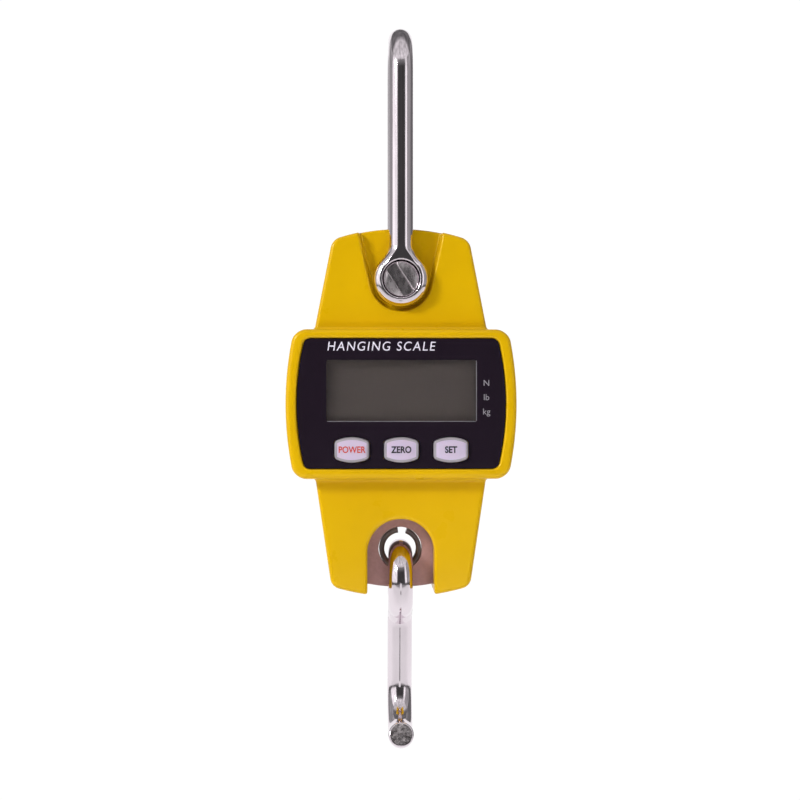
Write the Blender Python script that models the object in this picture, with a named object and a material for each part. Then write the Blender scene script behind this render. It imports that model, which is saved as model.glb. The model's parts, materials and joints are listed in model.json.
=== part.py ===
"""Small hanging crane scale: shackle, pin, two covers, load cell, display, buttons and swinging hook.

Frame: X to the reader's right, Y away from the reader, Z up. The origin is the inner seat of the
shackle's crown. Lengths below are millimetres and are turned into metres when a mesh is made.
"""
import math

import bmesh
import bpy
from mathutils import Matrix, Vector

MM = 0.001
GAP = 0.3                      # clearance between pieces that touch on the real object

# Shackle and pin
ROD_R = 4.5
LEG_Y = 13.8
CROWN_Z = -(LEG_Y - ROD_R)
PIN_Z = -86.0
EYE_R = 10.1
EYE_HALF_T = 4.35
COUNTERBORE_R = 6.9
COUNTERBORE_DEPTH = 4.0
PIN_R = 4.0
PIN_HEAD_R = 6.55
THREAD_R = 2.4
SLOT_WIDTH = 4.4
SLOT_TILT = 33.0               # degrees from vertical
SLOT_OFFSET = -0.6             # the slot was cut a little off centre

# Housing
PART_Y = 0.15                  # half the gap at the parting plane
TONGUE_Y = 13.0
BOX_Y = 19.5
WALL = 2.4
TOP_Z = -66.9
TOP_ARC_R = 75.0
TOP_CORNER_X = 25.3
WAIST_X = 32.1
WAIST_TOP_Z = -106.0
WAIST_BOTTOM_Z = -155.0
BOTTOM_CORNER_X = 25.6
BOTTOM_Z = -202.9
BOTTOM_ARC_R = 85.0
TONGUE_CORNER_R = 2.2
BOX_Z = -131.8
BOX_HALF_H = 27.3
BOX_HALF_W = 42.15
BOX_SIDE_R = 121.0
BOX_CORNER_R = 4.5
RECESS_R = 11.7                # at the tongue's face, round the eye
RECESS_ANGLE = 12.2            # each wall from vertical
RECESS_DRAFT = 0.9             # how much smaller the recess is at its floor
RECESS_Y = 9.0
NOTCH_HALF_W = 12.3
NOTCH_Z = -186.5

# Face
PANEL_Z = -131.6
PANEL_HALF_H = 23.6
PANEL_HALF_W = 38.0
PANEL_SIDE_R = 97.5
PANEL_FRONT = -18.9
PANEL_BACK = -17.5
POCKET_Y = -17.2
FACE_WALL_BACK = -15.0
WINDOW = (54.8, 22.5)
WINDOW_CENTRE = (0.1, -126.95)
BUTTON_SIZE = (12.6, 9.2)
BUTTON_SIDE = 6.2              # straight length of a button's sides
BUTTON_CORNER_R = 1.0
BUTTON_PITCH = 18.0
BUTTON_Z = -148.45
BUTTON_NAMES = ("on_off_button", "tare_button", "unit_button")

# Load cell and hook
EYE_HOLE_Z = -186.0
CELL_HALF_T = 5.5
CELL_HALF_W = 12.5
LUG_HALF_T = 2.5
LUG_HALF_W = 16.5
LUG_ARC_R = 66.0
LUG_BOTTOM_Z = -200.3
BUSH_OUTER_R = 7.85
BUSH_INNER_R = 5.93
BUSH_HALF_L = 2.8
BUSH_GAP = 26.0                # degrees left open
BUSH_GAP_AT = 84.0             # degrees from +X, so just to the right of the top
RING_Z = -197.6
RING_R = 10.6
RING_START = -138.0            # degrees from the top, towards the back
HOOK_R = 4.65
REVERSE_R = 10.0
SHANK = 20.0
BOWL_R = 16.3
TIP_RISE = 115.0               # degrees turned from straight down, as it hangs

# Battery bay
BAY_Z = -136.0
BAY_HALF_H = 17.6
BAY_HALF_W = 26.4
BAY_FLOOR_Y = 6.2
DOOR_T = 1.6
CELL_D = 10.5
CELL_L = 44.0
CELL_PITCH = 11.3

COVER_SCREWS = [(21.5, -90.0), (36.0, -112.0), (36.0, -151.5), (20.9, -190.0)]
CELL_SCREWS = [(-8.0, -102.5), (8.0, -102.5)]
BOARD_SCREWS = [(-29.5, -109.6), (29.5, -109.6), (-29.5, -153.6), (29.5, -153.6)]


# ------------------------------------------------------------------ outlines, lists of (x, z)

def arc(cx, cz, r, start, end, steps):
    """Points on a circle from one angle to another, in degrees."""
    angles = [math.radians(start + (end - start) * i / steps) for i in range(steps + 1)]
    return [(cx + r * math.cos(a), cz + r * math.sin(a)) for a in angles]


def rounded(points, r, steps=3):
    """Rounds the sharp corners of a closed outline, leaving nearly straight ones alone."""
    out = []
    count = len(points)
    for i, point in enumerate(points):
        p = Vector(point)
        a = (Vector(points[i - 1]) - p).normalized()
        b = (Vector(points[(i + 1) % count]) - p).normalized()
        corner = a.angle(b)
        if corner > math.radians(150) or r <= 0:
            out.append(point)
            continue
        centre = p + (a + b).normalized() * (r / math.sin(corner / 2))
        t0 = p + a * (r / math.tan(corner / 2)) - centre
        t1 = p + b * (r / math.tan(corner / 2)) - centre
        turn = t0.angle_signed(t1)
        for k in range(steps + 1):
            spun = Matrix.Rotation(-turn * k / steps, 2) @ t0
            out.append((centre.x + spun.x, centre.y + spun.y))
    return out


def offset(points, d):
    """Moves every edge of an anticlockwise outline outwards by d, or inwards if d is negative."""
    out = []
    count = len(points)
    for i, point in enumerate(points):
        p = Vector(point)
        a = (p - Vector(points[i - 1])).normalized()
        b = (Vector(points[(i + 1) % count]) - p).normalized()
        na = Vector((a.y, -a.x))
        nb = Vector((b.y, -b.x))
        mitre = (na + nb) / (1 + na.dot(nb))
        out.append((p.x + mitre.x * d, p.y + mitre.y * d))
    return out


def barrel(cz, half_w, half_h, side_r, grow=0.0, corner=0.0):
    """Rectangle whose two sides bulge as arcs of side_r."""
    sweep_angle = math.degrees(math.asin(half_h / side_r))
    right = arc(half_w - side_r, cz, side_r, -sweep_angle, sweep_angle, 8)
    left = [(-x, z) for x, z in reversed(right)]
    return rounded(offset(right + left, grow), corner)


def box_outline(grow=0.0):
    return barrel(BOX_Z, BOX_HALF_W, BOX_HALF_H, BOX_SIDE_R, grow, max(BOX_CORNER_R + grow, 0.8))


def panel_outline(grow=0.0):
    return barrel(PANEL_Z, PANEL_HALF_W, PANEL_HALF_H, PANEL_SIDE_R, grow, 2.0)


def tongue_outline(grow=0.0):
    """Both tongues as one outline, which passes behind the bezel box."""
    top_angle = math.degrees(math.asin(TOP_CORNER_X / TOP_ARC_R))
    bottom_angle = math.degrees(math.asin(BOTTOM_CORNER_X / BOTTOM_ARC_R))
    top = arc(0, TOP_Z - TOP_ARC_R, TOP_ARC_R, 90 - top_angle, 90 + top_angle, 8)
    bottom = arc(0, BOTTOM_Z + BOTTOM_ARC_R, BOTTOM_ARC_R, -90 - bottom_angle, -90 + bottom_angle, 8)
    waist_left = [(-WAIST_X, WAIST_TOP_Z), (-WAIST_X, WAIST_BOTTOM_Z)]
    waist_right = [(WAIST_X, WAIST_BOTTOM_Z), (WAIST_X, WAIST_TOP_Z)]
    corner = max(TONGUE_CORNER_R + grow, 0.6)
    return rounded(offset(top + waist_left + bottom + waist_right, grow), corner)


def recess_outline(grow=0.0):
    """The eye's pocket: half round below the pin, with walls that open upwards past the top edge."""
    r = RECESS_R + grow
    low = arc(0, PIN_Z, r, -180 + RECESS_ANGLE, -RECESS_ANGLE, 14)
    rise = TOP_Z + 8 - PIN_Z
    top_half = r / math.cos(math.radians(RECESS_ANGLE)) + rise * math.tan(math.radians(RECESS_ANGLE))
    return low + [(top_half, PIN_Z + rise), (-top_half, PIN_Z + rise)]


def notch_outline(grow=0.0):
    """The arch that the hook's ring hangs in."""
    w = NOTCH_HALF_W + grow
    return [(-w, BOTTOM_Z - 4), (w, BOTTOM_Z - 4)] + arc(0, NOTCH_Z, w, 0, 180, 14)


def rectangle(cx, cz, width, height, corner=0.0):
    x0, x1, z0, z1 = cx - width / 2, cx + width / 2, cz - height / 2, cz + height / 2
    return rounded([(x0, z0), (x1, z0), (x1, z1), (x0, z1)], corner)


def circle(cx, cz, r, sides=16):
    return arc(cx, cz, r, 0, 360 - 360 / sides, sides - 1)


def button_outline(cx, grow=0.0):
    """Straight sides with a shallow arc above and below."""
    half = BUTTON_SIZE[0] / 2
    sag = (BUTTON_SIZE[1] - BUTTON_SIDE) / 2
    r = (half * half + sag * sag) / (2 * sag)
    spread = math.degrees(math.asin(half / r))
    top = arc(cx, BUTTON_Z + BUTTON_SIZE[1] / 2 - r, r, 90 - spread, 90 + spread, 6)
    bottom = arc(cx, BUTTON_Z - BUTTON_SIZE[1] / 2 + r, r, -90 - spread, -90 + spread, 6)
    return rounded(offset(top + bottom, grow), BUTTON_CORNER_R + grow, 2)


# ------------------------------------------------------------------ solids

def solid(name, bm):
    """Turns a bmesh in millimetres into an object in metres, with its faces pointing out."""
    bmesh.ops.recalc_face_normals(bm, faces=bm.faces)
    bmesh.ops.scale(bm, vec=Vector((MM, MM, MM)), verts=bm.verts)
    mesh = bpy.data.meshes.new(name)
    bm.to_mesh(mesh)
    bm.free()
    obj = bpy.data.objects.new(name, mesh)
    bpy.context.scene.collection.objects.link(obj)
    return obj


def loft(name, rings):
    """Skins rings with equal counts of points and caps both ends."""
    bm = bmesh.new()
    loops = [[bm.verts.new(point) for point in ring] for ring in rings]
    count = len(loops[0])
    for low, high in zip(loops, loops[1:]):
        for i in range(count):
            j = (i + 1) % count
            bm.faces.new((low[i], low[j], high[j], high[i]))
    bm.faces.new(loops[0])
    bm.faces.new(loops[-1])
    return solid(name, bm)


def layers(name, *levels):
    """Stacks outlines along Y; each level is (outline, y)."""
    return loft(name, [[(x, y, z) for x, z in outline] for outline, y in levels])


def prism(name, outline, y0, y1):
    return layers(name, (outline, y0), (outline, y1))


def turned(name, cx, cz, profile, sides=24):
    """Solid of revolution about a line along Y, from a profile of (radius, y) whose ends are capped."""
    rings = []
    for r, y in profile:
        rings.append([(x, y, z) for x, z in circle(cx, cz, r, sides)])
    return loft(name, rings)


def combine(target, tool, operation):
    """Joins or cuts one solid with another and removes the tool."""
    modifier = target.modifiers.new(operation.lower(), "BOOLEAN")
    modifier.operation = operation
    modifier.solver = "EXACT"
    modifier.object = tool
    evaluated = target.evaluated_get(bpy.context.evaluated_depsgraph_get())
    mesh = bpy.data.meshes.new_from_object(evaluated)
    target.modifiers.clear()
    target.data = mesh
    bpy.data.objects.remove(tool)
    return target


def cut(target, *tools):
    for tool in tools:
        combine(target, tool, "DIFFERENCE")
    return target


def join(target, *tools):
    for tool in tools:
        combine(target, tool, "UNION")
    return target


def keep(target, tool):
    return combine(target, tool, "INTERSECT")


def bar(name, path, radii, sides=16):
    """Round bar along a path in the YZ plane, given as (y, z) points with a radius each."""
    rings = []
    for i, (y, z) in enumerate(path):
        y0, z0 = path[max(i - 1, 0)]
        y1, z1 = path[min(i + 1, len(path) - 1)]
        along = Vector((0, y1 - y0, z1 - z0)).normalized()
        across = along.cross(Vector((1, 0, 0)))
        ring = []
        for k in range(sides):
            a = 2 * math.pi * k / sides
            ring.append(Vector((math.cos(a) * radii[i], y, z)) + across * (math.sin(a) * radii[i]))
        rings.append(ring)
    return loft(name, rings)


# ------------------------------------------------------------------ materials and bodies

def material(name, colour, roughness, metallic=0.0):
    mat = bpy.data.materials.new(name)
    mat.use_nodes = True
    shader = mat.node_tree.nodes["Principled BSDF"]
    shader.inputs["Base Color"].default_value = (*colour, 1.0)
    shader.inputs["Roughness"].default_value = roughness
    shader.inputs["Metallic"].default_value = metallic
    return mat


def pivot_empty(name, x, y, z):
    empty = bpy.data.objects.new(name, None)
    empty.location = Vector((x, y, z)) * MM
    empty.empty_display_size = 0.01
    bpy.context.scene.collection.objects.link(empty)
    return empty


# ------------------------------------------------------------------ shackle and pin

def make_shackle():
    crown = [(-y, z) for y, z in arc(0, CROWN_Z, LEG_Y, 0, 180, 14)]
    path = [(-LEG_Y, PIN_Z + 6.5), (-LEG_Y, (PIN_Z + CROWN_Z) / 2)] + crown
    path += [(LEG_Y, (PIN_Z + CROWN_Z) / 2), (LEG_Y, PIN_Z + 6.5)]
    bow = bar("shackle_bow", path, [ROD_R] * len(path), 20)
    for side in (-1, 1):
        inner = side * (LEG_Y - EYE_HALF_T)
        outer = side * (LEG_Y + EYE_HALF_T)
        profile = [(EYE_R - 1.6, inner), (EYE_R, inner + side * 1.9)]
        profile += [(EYE_R, outer - side * 2.4), (EYE_R - 2.0, outer)]
        join(bow, turned("eye", 0, PIN_Z, profile, 32))
        cut(bow, prism("hole", circle(0, PIN_Z, PIN_R + 0.15, 24), inner - side * 3, outer + side * 3))
        floor = outer - side * COUNTERBORE_DEPTH
        cut(bow, prism("counterbore", circle(0, PIN_Z, COUNTERBORE_R, 28), floor, outer + side * 3))
    return bow


def make_pin():
    """A barrel with a round head at the back, and a slotted screw that threads into it at the front."""
    face = LEG_Y + EYE_HALF_T
    seat = face - COUNTERBORE_DEPTH
    barrel_profile = [(PIN_R, -seat + 0.2), (PIN_R, seat + GAP), (PIN_HEAD_R, seat + GAP)]
    barrel_profile += [(PIN_HEAD_R, face - 0.8), (PIN_HEAD_R - 0.7, face - 0.1)]
    pin_barrel = turned("shackle_pin", 0, PIN_Z, barrel_profile)
    cut(pin_barrel, prism("bore", circle(0, PIN_Z, THREAD_R + GAP), -face, 2.0))
    screw_profile = [(THREAD_R, 0.0), (THREAD_R, -seat - GAP), (PIN_HEAD_R, -seat - GAP)]
    screw_profile += [(PIN_HEAD_R, -face + 0.8), (PIN_HEAD_R - 0.7, -face + 0.1)]
    screw = turned("pin_screw", 0, PIN_Z, screw_profile)
    slot = prism("slot", rectangle(SLOT_OFFSET, 0, SLOT_WIDTH, 20), -face - 1, -face + 1.7)
    slot.data.transform(Matrix.Rotation(math.radians(-SLOT_TILT), 4, "Y"))
    slot.location.z = PIN_Z * MM
    bpy.context.view_layer.update()
    cut(screw, slot)
    return pin_barrel, screw


# ------------------------------------------------------------------ covers

def make_shell(name, side):
    """What both covers share: tongues, bezel box, eye recess, arch notch and hollow. side is -1 in front."""
    def at(y):
        return side * y

    shell = layers(name, (tongue_outline(), at(PART_Y)), (tongue_outline(), at(TONGUE_Y - 1)),
                   (tongue_outline(-0.7), at(TONGUE_Y)))
    box = layers("box", (box_outline(), at(PART_Y)), (box_outline(), at(BOX_Y - 1.2)),
                 (box_outline(-1.0), at(BOX_Y)))
    join(shell, box)
    cut(shell, prism("hollow", tongue_outline(-WALL), at(-1), at(TONGUE_Y - WALL)))
    inner = -FACE_WALL_BACK if side < 0 else BOX_Y - WALL
    cut(shell, prism("box_hollow", box_outline(-WALL), at(-1.1), at(inner)))
    pocket = prism("pocket", recess_outline(2.2), at(RECESS_Y - 2.4), at(TONGUE_Y - 1.5))
    join(shell, keep(pocket, prism("trim", tongue_outline(-1.2), at(0), at(TONGUE_Y + 3))))
    cut(shell, layers("recess", (recess_outline(-RECESS_DRAFT), at(RECESS_Y)),
                      (recess_outline(0.4), at(TONGUE_Y + 1.6))))
    cut(shell, prism("pin_hole", circle(0, PIN_Z, PIN_R + 0.5, 20), at(2), at(RECESS_Y + 1)))
    arch = prism("arch_wall", notch_outline(2.2), at(LUG_HALF_T + GAP), at(TONGUE_Y - 1.5))
    join(shell, keep(arch, prism("trim", tongue_outline(-1.3), at(0), at(TONGUE_Y + 3))))
    cut(shell, prism("arch", notch_outline(), at(-2), at(TONGUE_Y + 2)))
    return shell


def mirrored_sites(sites):
    return [(s * x, z) for x, z in sites for s in (-1, 1)]


def make_front_cover():
    cover = make_shell("front_cover", -1)
    for x, z in mirrored_sites(COVER_SCREWS):
        front = -TONGUE_Y + 1.5 if abs(z - BOX_Z) > BOX_HALF_H else FACE_WALL_BACK - 0.8
        post = prism("post", circle(x, z, 3.0, 12), front, -PART_Y - 0.1)
        join(cover, cut(post, prism("bore", circle(x, z, 1.3, 10), front + 2.0, 1)))
    for x, z in BOARD_SCREWS:
        post = prism("post", circle(x, z, 2.1, 10), FACE_WALL_BACK - 0.8, -11.8)
        join(cover, cut(post, prism("bore", circle(x, z, 1.0, 8), FACE_WALL_BACK + 0.6, -11)))
    cut(cover, prism("panel_pocket", panel_outline(GAP), -BOX_Y - 1, POCKET_Y))
    glass = rectangle(*WINDOW_CENTRE, WINDOW[0] + 4.6, WINDOW[1] + 4.6, 1.0)
    cut(cover, prism("glass_hole", glass, -BOX_Y, FACE_WALL_BACK + 1))
    for i in range(3):
        outline = button_outline((i - 1) * BUTTON_PITCH, GAP)
        cut(cover, prism("button_hole", outline, -BOX_Y, FACE_WALL_BACK + 1))
    return cover


def make_rear_cover():
    cover = make_shell("rear_cover", 1)
    bay = rectangle(0, BAY_Z, BAY_HALF_W * 2 + 2.4, BAY_HALF_H * 2 + 2.4)
    join(cover, prism("bay", bay, BAY_FLOOR_Y - 0.1, BOX_Y - WALL + 0.9))
    for x, z in mirrored_sites(COVER_SCREWS):
        back = TONGUE_Y if abs(z - BOX_Z) > BOX_HALF_H else BOX_Y
        join(cover, prism("post", circle(x, z, 4.0, 14), PART_Y + 0.1, back - 1.5))
        cut(cover, prism("bore", circle(x, z, 1.7, 10), -1, back + 1))
        cut(cover, prism("head_bore", circle(x, z, 3.0, 14), back - 3.2, back + 1))
    for x, z in CELL_SCREWS:
        post = prism("post", circle(x, z, 2.6, 10), CELL_HALF_T + GAP, TONGUE_Y - 1.5)
        join(cover, cut(post, prism("bore", circle(x, z, 1.4, 8), CELL_HALF_T, TONGUE_Y - 3.2)))
    cut(cover, prism("bay_space", rectangle(0, BAY_Z, BAY_HALF_W * 2, BAY_HALF_H * 2),
                     BAY_FLOOR_Y + 1.0, BOX_Y + 1))
    door = rectangle(0, BAY_Z, BAY_HALF_W * 2 + 2.0, BAY_HALF_H * 2 + 2.0)
    cut(cover, prism("door_rebate", door, BOX_Y - DOOR_T - GAP, BOX_Y + 1))
    cut(cover, prism("label_rebate", rectangle(0, -111.5, 44.6, 8.6), BOX_Y - 0.6, BOX_Y + 1))
    return cover


def make_battery_door():
    outline = rectangle(0, BAY_Z, BAY_HALF_W * 2 + 2.0 - 2 * GAP, BAY_HALF_H * 2 + 2.0 - 2 * GAP)
    door = prism("battery_door", outline, BOX_Y - DOOR_T, BOX_Y)
    grip = rectangle(0, BAY_Z + BAY_HALF_H - 4.0, 13.0, 4.0, 1.9)
    return cut(door, prism("grip", grip, BOX_Y - 0.8, BOX_Y + 1))


# ------------------------------------------------------------------ face, display and buttons

def make_face_panel():
    panel = prism("face_panel", panel_outline(), PANEL_FRONT, PANEL_BACK)
    cut(panel, prism("window_hole", rectangle(*WINDOW_CENTRE, *WINDOW, 0.6), PANEL_FRONT - 1, PANEL_BACK + 1))
    for i in range(3):
        outline = button_outline((i - 1) * BUTTON_PITCH, GAP)
        cut(panel, prism("button_hole", outline, PANEL_FRONT - 1, PANEL_BACK + 1))
    return panel


def make_button(name, cx):
    """A domed cap with a flange behind the face wall, which stops it from falling out."""
    face = PANEL_FRONT - 1.3
    flange = rectangle(cx, BUTTON_Z, BUTTON_SIZE[0] + 2.2, BUTTON_SIZE[1] + 1.4, 1.0)
    flange_front = FACE_WALL_BACK + GAP
    cap = layers(name, (button_outline(cx), flange_front + 0.5), (button_outline(cx), face + 0.7),
                 (button_outline(cx, -0.6), face), (button_outline(cx, -0.85), face - 0.25))
    return join(cap, prism("flange", flange, flange_front, flange_front + 0.8))


def make_display():
    x, z = WINDOW_CENTRE
    window = prism("display_window", rectangle(x, z, WINDOW[0] + 4.0, WINDOW[1] + 4.0, 0.7), -17.2, -16.2)
    glass = prism("lcd_glass", rectangle(x, z, WINDOW[0] + 1.6, WINDOW[1] + 1.6), -15.8, -14.0)
    frame = prism("lcd_frame", rectangle(x, z, WINDOW[0] + 4.0, WINDOW[1] + 4.0), -13.6, -12.1)
    cut(frame, prism("frame_hole", rectangle(x, z - 1, WINDOW[0] - 2, WINDOW[1] - 4), -14.5, -11))
    strip_z = z + WINDOW[1] / 2 - 1.6
    cut(frame, prism("strip_hole", rectangle(x, strip_z + 0.4, WINDOW[0] - 2, 2.8), -14.5, -11))
    strip = prism("contact_strip", rectangle(x, strip_z, WINDOW[0] - 4, 1.6), -13.6, -12.1)
    return window, glass, frame, strip


def make_board():
    outline = rectangle(0, (BOARD_SCREWS[0][1] + BOARD_SCREWS[2][1]) / 2, 64, 48.5, 1.5)
    board = prism("main_board", outline, -11.5, -9.9)
    for x, z in BOARD_SCREWS:
        cut(board, prism("hole", circle(x, z, 1.4, 10), -13, -8))
    chip = prism("chip", rectangle(14, -142, 9, 9), -10.4, -8.6)
    return join(board, chip)


def make_keypad_mat():
    mat = prism("keypad_mat", rectangle(0, BUTTON_Z + 0.2, BUTTON_PITCH * 2 + 15, 8.4, 1.0), -12.6, -11.8)
    for i in range(3):
        dome = turned("dome", (i - 1) * BUTTON_PITCH, BUTTON_Z, [(3.4, -12.2), (2.6, -12.95)], 16)
        join(mat, dome)
    return mat


# ------------------------------------------------------------------ load cell, hook, bush

def make_load_cell():
    """S cell: two slots from opposite sides leave a beam between them, bored for the gauges."""
    top = arc(0, PIN_Z, CELL_HALF_W, 0, 180, 12)
    cell = prism("load_cell", top + [(-CELL_HALF_W, -170), (CELL_HALF_W, -170)], -CELL_HALF_T, CELL_HALF_T)
    lug_top = [(LUG_HALF_W, -174.0), (CELL_HALF_W - 1, -168.0)]
    lug_top += [(-x, z) for x, z in reversed(lug_top)]
    spread = math.degrees(math.asin(LUG_HALF_W / LUG_ARC_R))
    edge = arc(0, LUG_BOTTOM_Z + LUG_ARC_R, LUG_ARC_R, -90 - spread, -90 + spread, 8)
    join(cell, prism("lug", lug_top + edge, -LUG_HALF_T, LUG_HALF_T))
    cut(cell, prism("pin_hole", circle(0, PIN_Z, PIN_R + GAP, 24), -9, 9))
    cut(cell, prism("hook_hole", circle(0, EYE_HOLE_Z, BUSH_OUTER_R + GAP, 32), -9, 9))
    cut(cell, prism("slot", rectangle(-6, -119, 29, 3.0), -9, 9))
    cut(cell, prism("slot", rectangle(6, -149, 29, 3.0), -9, 9))
    for x in (-4.5, 4.5):
        cut(cell, prism("beam_bore", circle(x, -134, 5.2, 20), -9, 9))
    for x, z in CELL_SCREWS:
        cut(cell, prism("screw_hole", circle(x, z, 1.7, 10), -9, 9))
    return cell


def make_bush():
    """Split steel sleeve: a chamfered section turned about Y, open just beside the top."""
    section = [(BUSH_INNER_R, -1.6), (BUSH_INNER_R, 1.6), (BUSH_INNER_R + 1.2, BUSH_HALF_L),
               (BUSH_OUTER_R, BUSH_HALF_L), (BUSH_OUTER_R, -BUSH_HALF_L), (BUSH_INNER_R + 1.2, -BUSH_HALF_L)]
    start = BUSH_GAP_AT + BUSH_GAP / 2
    turns = 34
    rings = []
    for i in range(turns + 1):
        a = math.radians(start + (360 - BUSH_GAP) * i / turns)
        rings.append([(r * math.cos(a), y, EYE_HOLE_Z + r * math.sin(a)) for r, y in section])
    return loft("hook_bush", rings)


def hook_path(bowl_turn):
    """The hook's centre line about its ring centre: ring, reverse bend, shank and bowl, as (y, z)."""
    leave = 180 - math.degrees(math.asin(REVERSE_R / (RING_R + REVERSE_R)))
    ring = [(-y, z) for z, y in arc(0, 0, RING_R, RING_START, leave, 22)]
    centre = Vector((-math.sin(math.radians(leave)), math.cos(math.radians(leave)))) * (RING_R + REVERSE_R)
    bend = arc(centre.x, centre.y, REVERSE_R, 180 - leave, 0, 4)[1:]
    y, z = bend[-1]
    bowl = arc(y - BOWL_R, z - SHANK, BOWL_R, 0, -bowl_turn, 14)
    return ring + bend + bowl


def hang_angle(path):
    """How far a uniform bar turns about X to hang with its centre of mass under the ring's centre."""
    moment = Vector((0, 0))
    for a, b in zip(path, path[1:]):
        a, b = Vector(a), Vector(b)
        moment += (a + b) / 2 * (b - a).length
    return math.atan2(-moment.x, -moment.y)


def make_hook():
    tilt = 0.0
    for _ in range(8):
        path = hook_path(TIP_RISE + math.degrees(tilt))
        tilt = hang_angle(path)
    turn = Matrix.Rotation(tilt, 2)
    path = [turn @ Vector(point) + Vector((0, RING_Z)) for point in path]
    radii = [ROD_R] * 23 + [HOOK_R] * (len(path) - 23)
    along = (path[-1] - path[-2]).normalized()
    path.append(path[-1] + along * 0.7)
    radii.append(HOOK_R - 0.7)
    path.insert(0, path[0] - (path[1] - path[0]).normalized() * 0.7)
    radii.insert(0, ROD_R - 0.7)
    return bar("load_hook", [tuple(point) for point in path], radii, 20)


# ------------------------------------------------------------------ small parts

def make_screw(name, x, z, head_y, tip_y, head_r, shank_r):
    """Pan head screw along Y with a cross recess; its head's top is at head_y."""
    way = 1 if tip_y > head_y else -1
    under = head_y + way * head_r * 0.62
    profile = [(head_r * 0.72, head_y), (head_r, head_y + way * head_r * 0.3), (head_r, under)]
    profile += [(shank_r, under), (shank_r, tip_y - way * shank_r), (shank_r * 0.4, tip_y)]
    screw = turned(name, x, z, profile, 10)
    for width, height in ((head_r * 1.1, head_r * 0.28), (head_r * 0.28, head_r * 1.1)):
        reach = head_y + way * head_r * 0.4
        cut(screw, prism("cross", rectangle(x, z, width, height), head_y - way, reach))
    return screw


def make_cell_battery(index):
    """One AAA cell lying along X; every second one is turned end for end."""
    z = BAY_Z + (index - 1) * CELL_PITCH
    y = BAY_FLOOR_Y + 1.0 + GAP + CELL_D / 2 - 0.1
    way = 1 if index % 2 else -1
    r = CELL_D / 2 - 0.1
    profile = [(r - 0.4, -CELL_L / 2), (r, -CELL_L / 2 + 0.4), (r, CELL_L / 2 - 0.4), (r - 0.4, CELL_L / 2)]
    profile += [(1.9, CELL_L / 2), (1.9, CELL_L / 2 + 0.8)]
    rings = []
    for radius, along in profile:
        rings.append([(way * along + way * 1.4, y + a, z + b) for a, b in circle(0, 0, radius, 16)])
    return loft(f"battery_{index + 1}", rings), (way, y, z)


def make_contacts(index, way, y, z):
    """A flat contact at the button end and a coil of spring wire at the other."""
    wall = BAY_HALF_W - 0.4
    plate = loft(f"contact_plate_{index + 1}", [
        [(way * x, y + a, z + b) for a, b in ((-3.6, -3.6), (3.6, -3.6), (3.6, 3.6), (-3.6, 3.6))]
        for x in (wall - 0.5, wall)])
    coil = []
    turns, steps, sides = 3.0, 9, 5
    length = BAY_HALF_W - 0.8 - (CELL_L / 2 - 1.4) - 0.4
    for i in range(int(turns * steps) + 1):
        t = i / (turns * steps)
        a = 2 * math.pi * turns * t
        r = 3.2 - 1.0 * t
        centre = Vector((-way * (wall - 0.6 - length * t), y + r * math.cos(a), z + r * math.sin(a)))
        out = Vector((0, math.cos(a), math.sin(a)))
        ring = []
        for k in range(sides):
            b = 2 * math.pi * k / sides
            ring.append(centre + (out * math.cos(b) + Vector((1, 0, 0)) * math.sin(b)) * 0.3)
        coil.append(ring)
    return plate, loft(f"battery_spring_{index + 1}", coil)


def make_gauge_cable():
    """Short lead from the upper gauge round the cell's edge to the back of the board."""
    route = [(8.0, -6.6, -122.5), (11.0, -7.0, -121.0), (15.0, -7.6, -119.0), (18.0, -8.2, -115.0)]
    route.append((18.5, -9.0, -112.5))
    curve = bpy.data.curves.new("gauge_cable", "CURVE")
    curve.dimensions = "3D"
    curve.bevel_depth = 0.8 * MM
    curve.bevel_resolution = 1
    curve.use_fill_caps = True
    spline = curve.splines.new("POLY")
    spline.points.add(len(route) - 1)
    for point, (x, y, z) in zip(spline.points, route):
        point.co = (x * MM, y * MM, z * MM, 1)
    cable = bpy.data.objects.new("gauge_cable", curve)
    bpy.context.scene.collection.objects.link(cable)
    return cable


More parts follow.
